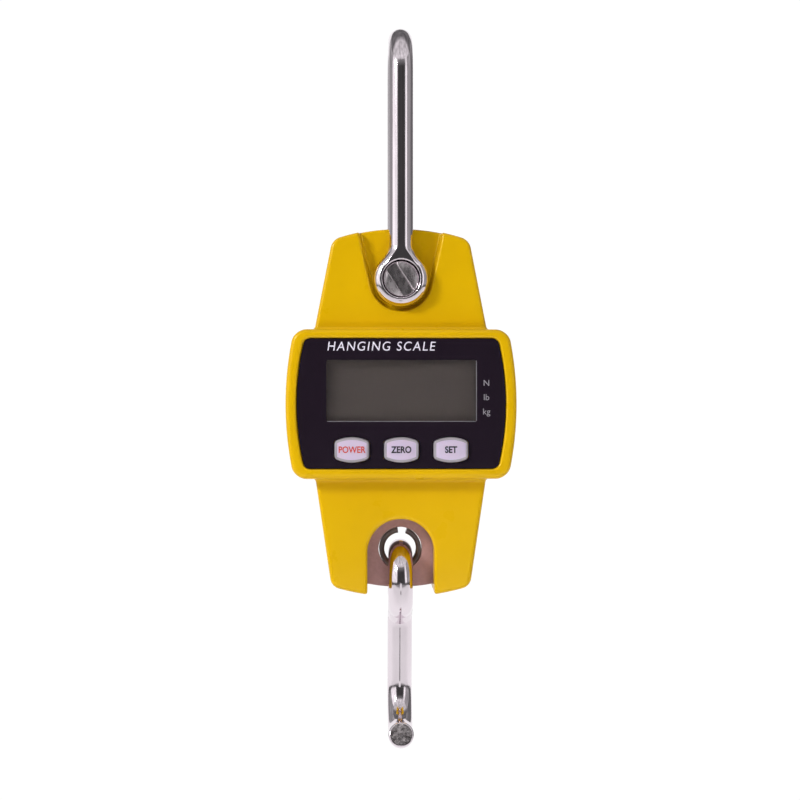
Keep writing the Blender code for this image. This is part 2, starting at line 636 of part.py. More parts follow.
def main():
    for obj in list(bpy.data.objects):
        bpy.data.objects.remove(obj)

    steel = material("polished_steel", (0.72, 0.71, 0.72), 0.12, 1.0)
    yellow = material("yellow_paint", (0.78, 0.47, 0.01), 0.32)
    black = material("black_panel", (0.012, 0.010, 0.014), 0.22)
    lilac = material("button_plastic", (0.72, 0.66, 0.80), 0.4)
    alloy = material("cell_alloy", (0.34, 0.22, 0.22), 0.55, 0.3)
    zinc = material("zinc_screw", (0.62, 0.62, 0.60), 0.3, 1.0)
    green = material("board_green", (0.02, 0.16, 0.06), 0.4)
    rubber = material("rubber", (0.15, 0.15, 0.15), 0.8)
    glass = material("display_glass", (0.10, 0.10, 0.08), 0.1)
    clear = material("clear_window", (0.25, 0.24, 0.22), 0.05)
    white = material("white_plastic", (0.8, 0.8, 0.78), 0.5)
    wrap = material("battery_wrap", (0.05, 0.12, 0.32), 0.35)
    silver = material("label_foil", (0.66, 0.66, 0.68), 0.35, 0.6)

    shackle = pivot_empty("shackle", 0, 0, 0)
    housing = pivot_empty("housing", 0, 0, PIN_Z)
    sway = pivot_empty("bush_pivot", 0, 0, EYE_HOLE_Z)
    swing = pivot_empty("hook_pivot", 0, 0, RING_Z)
    housing.parent = shackle
    sway.parent = housing
    swing.parent = sway
    sway.location -= housing.location
    swing.location -= Vector((0, 0, EYE_HOLE_Z * MM))
    bpy.context.view_layer.update()

    def put(obj, mat, body):
        """Finishes a solid and hangs it on its body's empty."""
        if obj.type == "CURVE":
            obj.data.materials.append(mat)
        else:
            obj.data.materials.clear()
            obj.data.materials.append(mat)
            obj.data.shade_smooth()
            obj.data.set_sharp_from_angle(angle=math.radians(35))
            obj.data.transform(Matrix.Translation(-body.matrix_world.translation))
            obj.matrix_world = body.matrix_world.copy()
        world = obj.matrix_world.copy()
        obj.parent = body
        obj.matrix_parent_inverse = body.matrix_world.inverted()
        obj.matrix_world = world

    put(make_shackle(), steel, shackle)
    for piece in make_pin():
        put(piece, steel, shackle)
    put(make_front_cover(), yellow, housing)
    put(make_rear_cover(), yellow, housing)
    put(make_face_panel(), black, housing)
    for piece, mat in zip(make_display(), (clear, glass, white, rubber)):
        put(piece, mat, housing)
    put(make_board(), green, housing)
    put(make_keypad_mat(), rubber, housing)
    put(make_load_cell(), alloy, housing)
    put(make_gauge_cable(), rubber, housing)
    put(prism("strain_gauge_upper", rectangle(-2, -120.0, 10, 0.3), -2.5, 2.5), white, housing)
    put(prism("strain_gauge_lower", rectangle(2, -148.0, 10, 0.3), -2.5, 2.5), white, housing)
    put(prism("rating_plate", rectangle(0, -111.5, 44, 8, 0.8), BOX_Y - 0.3, BOX_Y - 0.05), silver, housing)

    for i, name in enumerate(BUTTON_NAMES):
        x = (i - 1) * BUTTON_PITCH
        body = pivot_empty(name + "_slide", x, 0, BUTTON_Z)
        body.parent = housing
        body.location -= Vector((0, 0, PIN_Z * MM))
        bpy.context.view_layer.update()
        put(make_button(name, x), lilac, body)

    for i in range(3):
        battery, (way, y, z) = make_cell_battery(i)
        put(battery, wrap, housing)
        for piece in make_contacts(i, way, y, z):
            put(piece, zinc, housing)
    put(make_battery_door(), yellow, housing)

    for i, (x, z) in enumerate(mirrored_sites(COVER_SCREWS)):
        back = TONGUE_Y if abs(z - BOX_Z) > BOX_HALF_H else BOX_Y
        put(make_screw(f"cover_screw_{i + 1}", x, z, back - 1.2, -6.0, 2.6, 1.0), zinc, housing)
    for i, (x, z) in enumerate(CELL_SCREWS):
        put(make_screw(f"cell_screw_{i + 1}", x, z, -CELL_HALF_T - 2.0, 9.0, 2.6, 1.1), zinc, housing)
    for i, (x, z) in enumerate(BOARD_SCREWS):
        put(make_screw(f"board_screw_{i + 1}", x, z, -8.4, -13.6, 1.9, 0.65), zinc, housing)

    put(make_bush(), steel, sway)
    put(make_hook(), steel, swing)


main()
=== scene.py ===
import json
import math

import bmesh
import bpy
import numpy as np
from mathutils import Matrix, Vector


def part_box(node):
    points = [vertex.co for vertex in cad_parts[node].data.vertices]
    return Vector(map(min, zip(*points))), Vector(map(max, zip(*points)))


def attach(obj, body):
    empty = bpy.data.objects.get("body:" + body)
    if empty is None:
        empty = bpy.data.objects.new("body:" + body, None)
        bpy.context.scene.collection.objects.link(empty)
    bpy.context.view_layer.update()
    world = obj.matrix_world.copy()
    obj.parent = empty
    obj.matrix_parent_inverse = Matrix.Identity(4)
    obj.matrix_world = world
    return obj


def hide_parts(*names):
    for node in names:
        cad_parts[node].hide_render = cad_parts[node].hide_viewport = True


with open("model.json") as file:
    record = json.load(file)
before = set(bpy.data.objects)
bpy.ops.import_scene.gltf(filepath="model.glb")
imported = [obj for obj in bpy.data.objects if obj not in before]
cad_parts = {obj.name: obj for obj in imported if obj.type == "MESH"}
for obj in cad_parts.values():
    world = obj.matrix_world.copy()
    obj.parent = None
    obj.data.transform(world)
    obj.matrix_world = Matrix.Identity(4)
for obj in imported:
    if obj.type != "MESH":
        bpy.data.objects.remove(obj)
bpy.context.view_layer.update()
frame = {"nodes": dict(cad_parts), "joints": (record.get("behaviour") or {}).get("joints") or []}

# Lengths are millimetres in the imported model's frame, and become metres when a mesh is made.
MM = 0.001


def joint_point(name):
    """Where a hinge sits, in millimetres."""
    joint = next(j for j in frame["joints"] if j["name"] == name)
    return Vector(joint["pos_m"]) / MM


def box(node):
    low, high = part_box(node)
    return low / MM, high / MM


# ---------------------------------------------------------------- sizes
# They come from the frame where it has them.
PIN_Z = joint_point("shackle_pivot").z
EYE_HOLE_Z = joint_point("hook_sway").z
RING_Z = joint_point("hook_swing").z
COVER_LOW, COVER_HIGH = box("front_cover")
PANEL_LOW, PANEL_HIGH = box("face_panel")
WINDOW_LOW, WINDOW_HIGH = box("display_window")
DOOR_LOW, DOOR_HIGH = box("battery_door")
PLATE_LOW, PLATE_HIGH = box("rating_plate")
BOW_HIGH = box("shackle_bow")[1]
BUTTONS = ["on_off_button", "tare_button", "unit_button"]

ROD_R = 4.5
LEG_Y = BOW_HIGH.y - ROD_R
CROWN_Z = BOW_HIGH.z - ROD_R - LEG_Y
EYE_R = 10.1
EYE_HALF_T = 4.35
COUNTERBORE_R = 6.9
COUNTERBORE_DEPTH = 4.0
EYE_BORE_R = 4.15
HEAD_R = 6.55
HEAD_DOME = 0.8
HEAD_ROOF_SLOPE = 0.11
SCREW_SHANK_R = 2.4
SLOT_DEPTH = 1.9
SLOT_HALF_W = 2.2
SLOT_OFFSET = -0.6
SLOT_TILT = math.radians(33.0)

PART_Y = 0.15
LIP_INSET = 1.45               # the rear shell's lip closes the parting gap from inside
LIP_HALF_W = 0.6
LIP_Y = -0.14
DOOR_GAP = 0.42                # the CAD has 0.3; the shell's coarse mesh needs a little more
DOOR_REBATE_CORNER_R = 0.25
PANEL_GAP = 0.3
BUTTON_GAP = 0.3
PLATE_GAP = 0.3
PLATE_DEPTH = 0.6
PLATE_CORNER_R = 0.8
WINDOW_MARGIN = 2.3
PIN_HOLE_R = 4.5
BAY_WALL = 0.5
BAY_LEDGE = 0.7
BAY_FRONT = 6.1
BAY_FLOOR = 7.2
RIB = 2.2
CELL_SPACE = 2.8
TONGUE_Y = 13.0
BOX_Y = -COVER_LOW.y
WALL = 2.4
TOP_Z = COVER_HIGH.z
TOP_ARC_R = 75.0
TOP_CORNER = (25.3, TOP_Z - 4.40)
WAIST = (32.1, -106.0, -155.0)
BOTTOM_Z = -202.9
BOTTOM_ARC_R = 85.0
BOTTOM_CORNER = (25.6, -198.95)
TONGUE_CORNER_R = 2.4
BOX_Z = -131.8
BOX_HALF_H = 27.3
BOX_HALF_W = COVER_HIGH.x
BOX_SIDE_R = 121.0
BOX_CORNER_R = 4.5
RECESS_R = 11.7
RECESS_ANGLE = math.radians(12.2)
RECESS_DRAFT = 0.9
RECESS_Y = 9.0
NOTCH_HALF_W = 12.3
NOTCH_Z = -186.5

PANEL_Z = (PANEL_LOW.z + PANEL_HIGH.z) / 2
PANEL_HALF_H = (PANEL_HIGH.z - PANEL_LOW.z) / 2
PANEL_HALF_W = PANEL_HIGH.x
PANEL_SIDE_R = 97.5
POCKET_Y = 17.2
FACE_WALL_BACK = 15.0
WINDOW_HALF = (27.4, 11.25)
WINDOW_X = (WINDOW_LOW.x + WINDOW_HIGH.x) / 2
WINDOW_Z = (WINDOW_LOW.z + WINDOW_HIGH.z) / 2
BUTTON_HALF = (6.3, 4.6)
BUTTON_SIDE_HALF = 3.1
BUTTON_CORNER_R = 1.0
BUTTON_PITCH = 18.0
BUTTON_Z = -148.45
BUTTON_BACK_Y = -15.2
# width of each button's outline band that gets the grey material, a painted shade for the rim's
# slope
SHADED_RIM_W = 0.85

BUSH_OUTER_R = 7.85
BUSH_INNER_R = 5.93
BUSH_GAP = math.radians(26.0)
BUSH_GAP_AT = math.radians(84.0)
RING_R = 10.6
RING_START = math.radians(-138.0)
HOOK_R = 4.65
REVERSE_R = 10.0
SHANK = 20.0
BOWL_R = 16.3
TIP_RISE = math.radians(115.0)
BUSH_HALF_L = 2.8
BUSH_RIM_R = 1.2
BUSH_CHAMFER = 0.2
HOOK_END_R = 0.75
COVER_SCREWS = [(21.5, -90.0), (36.0, -112.0), (36.0, -151.5), (20.9, -190.0)]
FRONT_POST_R = 3.0
FRONT_BORE_R = 1.3
FRONT_BORE_DEPTH = 10.5
REAR_POST_R = 4.0
REAR_BORE_R = 1.7
SCREW_HEAD_BORE_R = 3.0
SCREW_HEAD_DEPTH = 3.2

# Radii that edges and inner corners are rounded to.
TONGUE_EDGE_R = 1.3
BOX_EDGE_R = 1.7
BOX_FILLET_R = 1.4
RECESS_FLOOR_R = 0.5
RECESS_RIM_R = 0.38
NOTCH_RIM_R = 1.0
PANEL_CORNER_R = 2.0
POCKET_FLOOR_R = 0.2
POCKET_RIM_R = 0.6
PART_RIM_R = 0.3
EYE_EDGE_R = 3.4
NECK_FILLET_R = 3.2
COUNTERBORE_RIM_R = 0.45
HEAD_EDGE_R = 0.45
SLOT_EDGE_R = 0.3

# Grid steps of the meshes. The shells' steps keep each under 200,000 triangles, so the export
# doesn't thin them out.
BOW_STEP = 0.42
HEAD_STEP = 0.2
FRONT_STEP = 0.61
REAR_STEP = 0.65


# ---------------------------------------------------------------- signed distances, negative inside

def both(a, b, r):
    """Where a and b both hold, with the edge between them rounded to radius r."""
    inside = np.minimum(-r, np.maximum(a, b))
    return inside + np.hypot(np.maximum(a + r, 0), np.maximum(b + r, 0))


def either(a, b, r):
    """Where a or b holds, with a fillet of radius r between them."""
    outside = np.maximum(r, np.minimum(a, b))
    return outside - np.hypot(np.maximum(r - a, 0), np.maximum(r - b, 0))


def slope(ax, z, p, q):
    """Distance to the right of the line from p down to q."""
    dx, dz = q[0] - p[0], q[1] - p[1]
    length = math.hypot(dx, dz)
    return ((ax - p[0]) * -dz + (z - p[1]) * dx) / length


def tongue_2d(x, z):
    ax = np.abs(x)
    top = np.hypot(x, z - (TOP_Z - TOP_ARC_R)) - TOP_ARC_R
    low = np.hypot(x, z - (BOTTOM_Z + BOTTOM_ARC_R)) - BOTTOM_ARC_R
    upper = both(top, slope(ax, z, TOP_CORNER, (WAIST[0], WAIST[1])), TONGUE_CORNER_R)
    lower = both(low, slope(ax, z, (WAIST[0], WAIST[2]), BOTTOM_CORNER), TONGUE_CORNER_R)
    return np.maximum(np.maximum(upper, lower), ax - WAIST[0])


def barrel_2d(x, z, cz, half_w, half_h, side_r, corner):
    side = np.hypot(np.abs(x) + side_r - half_w, z - cz) - side_r
    return both(side, np.abs(z - cz) - half_h, corner)


def box_2d(x, z):
    return barrel_2d(x, z, BOX_Z, BOX_HALF_W, BOX_HALF_H, BOX_SIDE_R, BOX_CORNER_R)


def panel_2d(x, z):
    return barrel_2d(x, z, PANEL_Z, PANEL_HALF_W, PANEL_HALF_H, PANEL_SIDE_R, PANEL_CORNER_R)


def recess_2d(x, z):
    """Half round below the pin, with straight walls that open upwards."""
    ax, h = np.abs(x), z - PIN_Z
    along = ax * math.sin(RECESS_ANGLE) + h * math.cos(RECESS_ANGLE)
    wall = ax * math.cos(RECESS_ANGLE) - h * math.sin(RECESS_ANGLE)
    return np.where(along > 0, wall, np.hypot(ax, h)) - RECESS_R


def notch_2d(x, z):
    return np.where(z > NOTCH_Z, np.hypot(x, z - NOTCH_Z), np.abs(x)) - NOTCH_HALF_W


def rect_2d(x, z, cx, cz, half_w, half_h, corner=0.5):
    return both(np.abs(x - cx) - half_w, np.abs(z - cz) - half_h, corner)


def button_2d(x, z, cx):
    """Straight sides with a shallow arc above and below."""
    sag = BUTTON_HALF[1] - BUTTON_SIDE_HALF
    r = (BUTTON_HALF[0] ** 2 + sag ** 2) / (2 * sag)
    arcs = np.hypot(x - cx, np.abs(z - BUTTON_Z) + r - BUTTON_HALF[1]) - r
    return both(np.abs(x - cx) - BUTTON_HALF[0], arcs, BUTTON_CORNER_R)


def cover_outside(x, u, z):
    """Outer skin shared by both covers. u runs outwards from the parting plane."""
    tongue = both(tongue_2d(x, z), u - TONGUE_Y, TONGUE_EDGE_R)
    bezel = both(box_2d(x, z), u - BOX_Y, BOX_EDGE_R)
    skin = either(tongue, bezel, BOX_FILLET_R)
    draft = RECESS_DRAFT * np.clip((TONGUE_Y - u) / (TONGUE_Y - RECESS_Y), 0, 1)
    recess = both(recess_2d(x, z) + draft, RECESS_Y - u, RECESS_FLOOR_R)
    skin = both(skin, -recess, RECESS_RIM_R)
    return both(skin, -notch_2d(x, z), NOTCH_RIM_R)


def cover_hollow(x, u, z, box_inner):
    hollow = np.maximum(tongue_2d(x, z) + WALL, u - TONGUE_Y + WALL)
    hollow = np.minimum(hollow, np.maximum(box_2d(x, z) + WALL, u - box_inner))
    pocket_wall = np.maximum(recess_2d(x, z) - RIB, RECESS_Y - WALL - u)
    arch_wall = np.maximum(notch_2d(x, z) - RIB, CELL_SPACE - u)
    return np.maximum(hollow, -np.minimum(pocket_wall, arch_wall))


def post_sites():
    return [(side * x, z) for x, z in COVER_SCREWS for side in (-1, 1)]


def front_cover_field(x, y, z):
    u = -y
    skin = cover_outside(x, u, z)
    pocket = both(panel_2d(x, z) - PANEL_GAP, POCKET_Y - u, POCKET_FLOOR_R)
    skin = both(skin, -pocket, POCKET_RIM_R)
    hollow = cover_hollow(x, u, z, FACE_WALL_BACK)
    for px, pz in post_sites():
        q = np.hypot(x - px, z - pz)
        hollow = np.maximum(hollow, FRONT_POST_R - q)
        hollow = np.minimum(hollow, np.maximum(q - FRONT_BORE_R, u - FRONT_BORE_DEPTH))
    skin = np.maximum(skin, -hollow)
    holes = rect_2d(x, z, WINDOW_X, WINDOW_Z, WINDOW_HALF[0] + WINDOW_MARGIN,
                    WINDOW_HALF[1] + WINDOW_MARGIN)
    for i in range(3):
        holes = np.minimum(holes, button_2d(x, z, (i - 1) * BUTTON_PITCH) - BUTTON_GAP)
    holes = np.maximum(holes, FACE_WALL_BACK - 1 - u)
    holes = np.minimum(holes, np.maximum(np.hypot(x, z - PIN_Z) - PIN_HOLE_R, 1 - u))
    return both(np.maximum(skin, -holes), PART_Y - u, PART_RIM_R)


def rear_cover_field(x, y, z):
    u = y
    skin = cover_outside(x, u, z)
    hollow = cover_hollow(x, u, z, BOX_Y - WALL)
    door_x, door_z = DOOR_HIGH.x, (DOOR_LOW.z + DOOR_HIGH.z) / 2
    door_h = (DOOR_HIGH.z - DOOR_LOW.z) / 2
    bay = rect_2d(x, z, 0, door_z, door_x + BAY_WALL, door_h + BAY_WALL)
    hollow = np.maximum(hollow, -np.maximum(bay, BAY_FRONT - u))
    for px, pz in post_sites():
        hollow = np.maximum(hollow, REAR_POST_R - np.hypot(x - px, z - pz))
    skin = np.maximum(skin, -hollow)
    rebate = rect_2d(x, z, 0, door_z, door_x + DOOR_GAP, door_h + DOOR_GAP,
                     DOOR_REBATE_CORNER_R)
    rebate = both(rebate, DOOR_LOW.y - DOOR_GAP - u, 0.1)
    skin = both(skin, -rebate, 0.35)
    bay_space = rect_2d(x, z, 0, door_z, door_x - BAY_LEDGE, door_h - BAY_LEDGE)
    skin = np.maximum(skin, -np.maximum(bay_space, BAY_FLOOR - u))
    plate_z = (PLATE_LOW.z + PLATE_HIGH.z) / 2
    label = rect_2d(x, z, 0, plate_z, PLATE_HIGH.x + PLATE_GAP, PLATE_HIGH.z - plate_z + PLATE_GAP,
                    PLATE_CORNER_R)
    skin = both(skin, -np.maximum(label, BOX_Y - PLATE_DEPTH - u), 0.3)
    for px, pz in post_sites():
        back = BOX_Y if abs(pz - BOX_Z) < BOX_HALF_H else TONGUE_Y
        q = np.hypot(x - px, z - pz)
        skin = both(skin, -np.maximum(q - SCREW_HEAD_BORE_R, back - SCREW_HEAD_DEPTH - u), 0.4)
        skin = np.maximum(skin, REAR_BORE_R - q)
    skin = np.maximum(skin, -np.maximum(np.hypot(x, z - PIN_Z) - PIN_HOLE_R, 1 - u))
    outline = np.minimum(tongue_2d(x, z), box_2d(x, z))
    lip = np.maximum(np.abs(outline + LIP_INSET) - LIP_HALF_W, LIP_Y - u)
    return np.minimum(both(skin, PART_Y - u, PART_RIM_R), np.maximum(skin, lip))


def bow_field(x, y, z):
    """Round bar bent over the crown, flaring into an eye at each end."""
    ay = np.abs(y)
    bend = np.abs(np.hypot(y, z - CROWN_Z) - LEG_Y)
    leg = np.abs(ay - LEG_Y)
    bar = np.hypot(x, np.where(z > CROWN_Z, bend, leg)) - ROD_R
    bar = np.maximum(bar, PIN_Z + 3 - z)
    q = np.hypot(x, z - PIN_Z)
    eye = both(q - EYE_R, np.abs(ay - LEG_Y) - EYE_HALF_T, EYE_EDGE_R)
    body = either(bar, eye, NECK_FILLET_R)
    # Below the crown the fillet mustn't stand out past the rod, or it would cut into the
    # recess floor.
    body = np.where(z < CROWN_Z - LEG_Y, np.maximum(body, leg - ROD_R), body)
    face = LEG_Y + EYE_HALF_T
    sunk = np.maximum(q - COUNTERBORE_R, face - COUNTERBORE_DEPTH - ay)
    body = both(body, -sunk, COUNTERBORE_RIM_R)
    return np.maximum(body, EYE_BORE_R - q)


def head_field(x, y, z):
    """Pin screw's head and upper shank, with its wide slot."""
    dx, dz = x, z - PIN_Z
    q = np.hypot(dx, dz)
    seat = LEG_Y + EYE_HALF_T - COUNTERBORE_DEPTH + 0.3
    face = LEG_Y + EYE_HALF_T - 0.1
    across = np.abs(dx * math.cos(SLOT_TILT) + dz * math.sin(SLOT_TILT) - SLOT_OFFSET)
    # Each half was ground separately, so the domed top also falls away from the slot like a roof.
    dome = HEAD_DOME * (q / HEAD_R) ** 2 + HEAD_ROOF_SLOPE * across
    head = both(q - HEAD_R, np.maximum(-y - face + dome, y + seat), HEAD_EDGE_R)
    shank = np.maximum(np.maximum(q - SCREW_SHANK_R, -y - seat - 1), y)
    slot = np.maximum(across - SLOT_HALF_W, y + face - SLOT_DEPTH)
    return np.minimum(both(head, -slot, SLOT_EDGE_R), shank)


# ---------------------------------------------------------------- meshes from distances

def net_quads(inside, index):
    """One quad round every grid edge that crosses the surface, facing from inside to outside."""
    quads = []
    for k in range(3):
        lower = [slice(None)] * 3
        upper = [slice(None)] * 3
        lower[k], upper[k] = slice(0, -1), slice(1, None)
        here, there = inside[tuple(lower)], inside[tuple(upper)]
        crossing = np.argwhere(here != there)
        i, j = (k + 1) % 3, (k + 2) % 3
        crossing = crossing[(crossing[:, i] > 0) & (crossing[:, j] > 0)]
        crossing = crossing[(crossing[:, i] < index.shape[i]) & (crossing[:, j] < index.shape[j])]
        outward = here[tuple(crossing.T)]
        corners = []
        for di, dj in ((-1, -1), (0, -1), (0, 0), (-1, 0)):
            cell = crossing.copy()
            cell[:, i] += di
            cell[:, j] += dj
            corners.append(index[tuple(cell.T)])
        quad = np.stack(corners, axis=1)
        quads.append(np.where(outward[:, None], quad, quad[:, ::-1]))
    return np.concatenate(quads)


def gradient(field, points, h=0.01):
    parts = []
    for k in range(3):
        step = np.zeros(3)
        step[k] = h
        ahead, behind = points + step, points - step
        parts.append((field(*ahead.T) - field(*behind.T)) / (2 * h))
    return np.stack(parts, axis=1)


def slide_on(field, points, limit):
    """Moves points along the field's gradient to its zero surface."""
    slope_here = gradient(field, points)
    length = np.maximum(np.linalg.norm(slope_here, axis=1), 0.3)
    move = field(*points.T) / length ** 2
    move = np.clip(move * length, -limit, limit) / length
    return points - slope_here * move[:, None]


def relax(points, quads, amount):
    """Pulls each point towards the mean of its neighbours."""
    total = np.zeros_like(points)
    count = np.zeros(len(points))
    for a, b in ((0, 1), (1, 2), (2, 3), (3, 0)):
        for p, q in ((a, b), (b, a)):
            np.add.at(total, quads[:, p], points[quads[:, q]])
            np.add.at(count, quads[:, p], 1)
    return points + (total / np.maximum(count, 1)[:, None] - points) * amount


def field_mesh(name, field, low, high, step):
    """Smooth mesh of a distance field's surface, with its normals read from the field."""
    axes = [np.arange(low[k] - 1.5 * step, high[k] + 2.5 * step, step) for k in range(3)]
    inside = field(*np.meshgrid(*axes, indexing="ij")) < 0
    count = sum(inside[a:a - 1 or None, b:b - 1 or None, c:c - 1 or None].astype(np.int8)
                for a in (0, 1) for b in (0, 1) for c in (0, 1))
    active = (count > 0) & (count < 8)
    index = np.full(active.shape, -1)
    index[active] = np.arange(active.sum())
    cells = np.argwhere(active)
    points = np.stack([axes[k][cells[:, k]] + step / 2 for k in range(3)], axis=1)
    quads = net_quads(inside, index)
    for _ in range(3):
        for _ in range(2):
            points = slide_on(field, points, step)
        points = relax(points, quads, 0.5)
    for _ in range(3):
        points = slide_on(field, points, step)
    mesh = bpy.data.meshes.new(name)
    mesh.from_pydata((points * MM).tolist(), [], quads.tolist())
    mesh.validate()
    mesh.shade_smooth()
    return new_object(name, mesh)


def new_object(name, mesh):
    obj = bpy.data.objects.new(name, mesh)
    bpy.context.scene.collection.objects.link(obj)
    return obj


# ---------------------------------------------------------------- lofted meshes

def loft(name, rings):
    """Skins rings of points with quads, and closes both ends."""
    bm = bmesh.new()
    loops = [[bm.verts.new(Vector(point) * MM) for point in ring] for ring in rings]
    count = len(loops[0])
    for low, high in zip(loops, loops[1:]):
        for i in range(count):
            j = (i + 1) % count
            bm.faces.new((low[i], low[j], high[j], high[i]))
    bm.faces.new(loops[0])
    bm.faces.new(loops[-1])
    bmesh.ops.recalc_face_normals(bm, faces=bm.faces)
    mesh = bpy.data.meshes.new(name)
    bm.to_mesh(mesh)
    bm.free()
    mesh.shade_smooth()
    mesh.set_sharp_from_angle(angle=math.radians(40))
    return new_object(name, mesh)


def bar(name, path, radii, sides=64):
    """Round bar along (y, z) points in the plane X = 0."""
    rings = []
    for i, point in enumerate(path):
        along = (path[min(i + 1, len(path) - 1)] - path[max(i - 1, 0)]).normalized()
        across = Vector((-along.y, along.x))
        ring = []
        for k in range(sides):
            a = 2 * math.pi * k / sides
            reach = across * (math.sin(a) * radii[i])
            ring.append((math.cos(a) * radii[i], point.x + reach.x, point.y + reach.y))
        rings.append(ring)
    return loft(name, rings)


def arc_points(centre, r, start, end, steps):
    return [centre + Vector((math.cos(a), math.sin(a))) * r
            for a in (start + (end - start) * i / steps for i in range(steps + 1))]


def hook_path(bowl_turn):
    """Centre line about the ring's centre, in (y, z): ring, reverse bend, shank and bowl."""
    leave = math.pi - math.asin(REVERSE_R / (RING_R + REVERSE_R))
    ring = [Vector((-math.sin(a), math.cos(a))) * RING_R
            for a in (RING_START + (leave - RING_START) * i / 110 for i in range(111))]
    centre = Vector((-math.sin(leave), math.cos(leave))) * (RING_R + REVERSE_R)
    bend = arc_points(centre, REVERSE_R, math.pi - leave, 0.0, 14)[1:]
    shank = [bend[-1] + Vector((0, -SHANK * i / 10)) for i in range(1, 11)]
    bowl = arc_points(shank[-1] - Vector((BOWL_R, 0)), BOWL_R, 0.0, -bowl_turn, 70)[1:]
    return ring + bend + shank + bowl


def hang_angle(path):
    """The turn about X that brings the bar's centre of mass under the ring's centre."""
    moment = Vector((0, 0))
    for a, b in zip(path, path[1:]):
        moment += (a + b) / 2 * (b - a).length
    return math.atan2(-moment.x, -moment.y)


def smooth_step(t):
    t = min(max(t, 0.0), 1.0)
    return t * t * (3 - 2 * t)


def make_hook():
    tilt = 0.0
    for _ in range(8):
        path = hook_path(TIP_RISE + tilt)
        tilt = hang_angle(path)
    turn = Matrix.Rotation(tilt, 2)
    path = [turn @ point + Vector((0, RING_Z)) for point in path]
    radii = [ROD_R + (HOOK_R - ROD_R) * smooth_step((i - 60) / 60) for i in range(len(path))]
    for end, way in ((0, -1), (-1, 1)):
        base = path[end]
        along = (path[end] - path[end - way]).normalized()
        extra = [(base + along * HOOK_END_R * math.sin(a),
                  radii[end] - HOOK_END_R * (1 - math.cos(a)))
                 for a in (math.pi / 2 * k / 7 for k in range(1, 8))]
        if way < 0:
            path = [p for p, _ in reversed(extra)] + path
            radii = [r for _, r in reversed(extra)] + radii
        else:
            path += [p for p, _ in extra]
            radii += [r for _, r in extra]
    return bar("hook_bar", path, radii)


def make_bush():
    """Split sleeve with rounded mouths."""
    half, rim = BUSH_HALF_L, BUSH_RIM_R
    section = []
    for k in range(9):
        a = math.pi / 2 * k / 8
        section.append((BUSH_INNER_R + rim * (1 - math.sin(a)), half - rim * (1 - math.cos(a))))
    section += [(r, -y) for r, y in reversed(section)]
    section += [(BUSH_OUTER_R - BUSH_CHAMFER, -half), (BUSH_OUTER_R, -half + BUSH_CHAMFER),
                (BUSH_OUTER_R, half - BUSH_CHAMFER), (BUSH_OUTER_R - BUSH_CHAMFER, half)]
    start = BUSH_GAP_AT + BUSH_GAP / 2
    rings = []
    for i in range(129):
        a = start + (2 * math.pi - BUSH_GAP) * i / 128
        rings.append([(r * math.cos(a), y, EYE_HOLE_Z + r * math.sin(a)) for r, y in section])
    return loft("split_bush", rings)


def button_ring(cx, inset, y, points=160):
    """Button outline moved in by inset, at depth y, found along rays from the middle."""
    turn = np.arange(points) * 2 * math.pi / points
    near, far = np.zeros(points), np.full(points, 9.0)
    for _ in range(30):
        middle = (near + far) / 2
        inner = button_2d(cx + middle * np.cos(turn), BUTTON_Z + middle * np.sin(turn), cx) < -inset
        near, far = np.where(inner, middle, near), np.where(inner, far, middle)
    return [(cx + r * math.cos(a), y, BUTTON_Z + r * math.sin(a)) for r, a in zip(near, turn)]


def make_button(name, cx):
    """Raised rim round a pillow top, as moulded in silicone."""
    face = box(name)[0].y
    levels = [(0.0, BUTTON_BACK_Y), (0.0, face + 1.0), (0.08, face + 0.6), (0.3, face + 0.32),
              (0.6, face + 0.22), (0.95, face + 0.3), (1.15, face + 0.22), (1.7, face + 0.1),
              (2.6, face + 0.03), (3.6, face)]
    return loft(name + "_cap", [button_ring(cx, inset, y) for inset, y in levels])


# ---------------------------------------------------------------- materials

